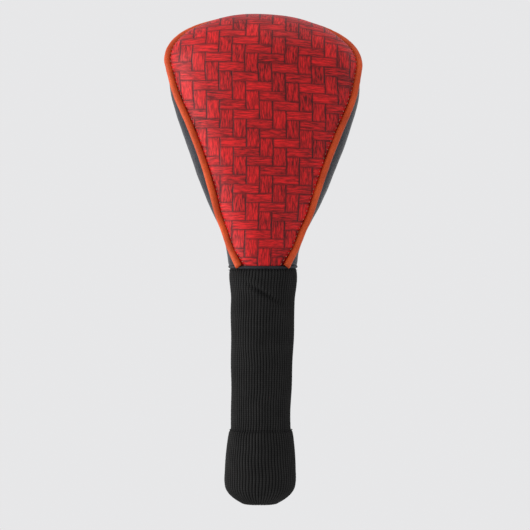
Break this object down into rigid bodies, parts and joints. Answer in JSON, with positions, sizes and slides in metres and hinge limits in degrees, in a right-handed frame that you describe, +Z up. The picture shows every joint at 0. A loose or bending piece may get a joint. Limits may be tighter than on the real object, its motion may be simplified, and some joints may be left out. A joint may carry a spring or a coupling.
{
  "type": "driver head cover",
  "caption": "Padded two-tone driver head cover with printed front, piped seam and a long rib-knit sock that grips the shaft.",
  "frame": {"origin": "centre of the elastic mouth at the bottom of the sock, where the club's shaft leaves", "axes": "+Z up along the cover from the mouth to the crown; -Y is the printed front; +X is to the right seen from the front"},
  "size_m": [0.1379, 0.0866, 0.3427],
  "materials": {
    "printed_leather": "printed synthetic leather, satin",
    "black_leather": "grained synthetic leather, half gloss",
    "orange_piping": "synthetic leather, half gloss",
    "foam": "soft open-cell foam",
    "fleece": "brushed fleece",
    "filler_cord": "twisted cotton cord",
    "pale_thread": "polyester thread",
    "black_thread": "polyester thread",
    "black_binding": "rolled synthetic leather",
    "elastic": "woven elastic",
    "rib_knit": "acrylic rib knit",
    "label_satin": "woven satin"
  },
  "bodies": {
    "shell": {"front_panel": "printed_leather", "front_foam": "foam", "front_lining": "fleece", "side_panel": "black_leather", "side_foam": "foam", "side_lining": "fleece", "back_panel": "black_leather", "back_foam": "foam", "back_lining": "fleece", "front_piping": "orange_piping", "piping_cord": "filler_cord", "piping_stitching": "pale_thread", "neck_binding": "black_binding", "neck_stitching": "black_thread", "care_label": "label_satin"},
    "neck": {"knit_collar": "rib_knit", "neck_elastic": "elastic"},
    "sock": {"knit_leg": "rib_knit"},
    "cuff": {"knit_cuff": "rib_knit", "cuff_inner": "rib_knit", "hem_elastic": "elastic", "hem_stitching": "black_thread"}
  },
  "joints": [
    {"name": "sock_bend", "type": "hinge", "parent": "shell", "child": "neck", "pos_m": [0, 0, 0.1635], "axis": [1, 0, 0], "range_deg": [-65, 65], "deforming": ["knit_collar", "neck_elastic"]},
    {"name": "sock_sway", "type": "hinge", "parent": "neck", "child": "sock", "pos_m": [0, 0, 0.137], "axis": [0, 1, 0], "range_deg": [-45, 45]},
    {"name": "sock_gather", "type": "slide", "parent": "sock", "child": "cuff", "axis": [0, 0, 1], "range_m": [0, 0.04], "deforming": ["knit_leg"]}
  ]
}
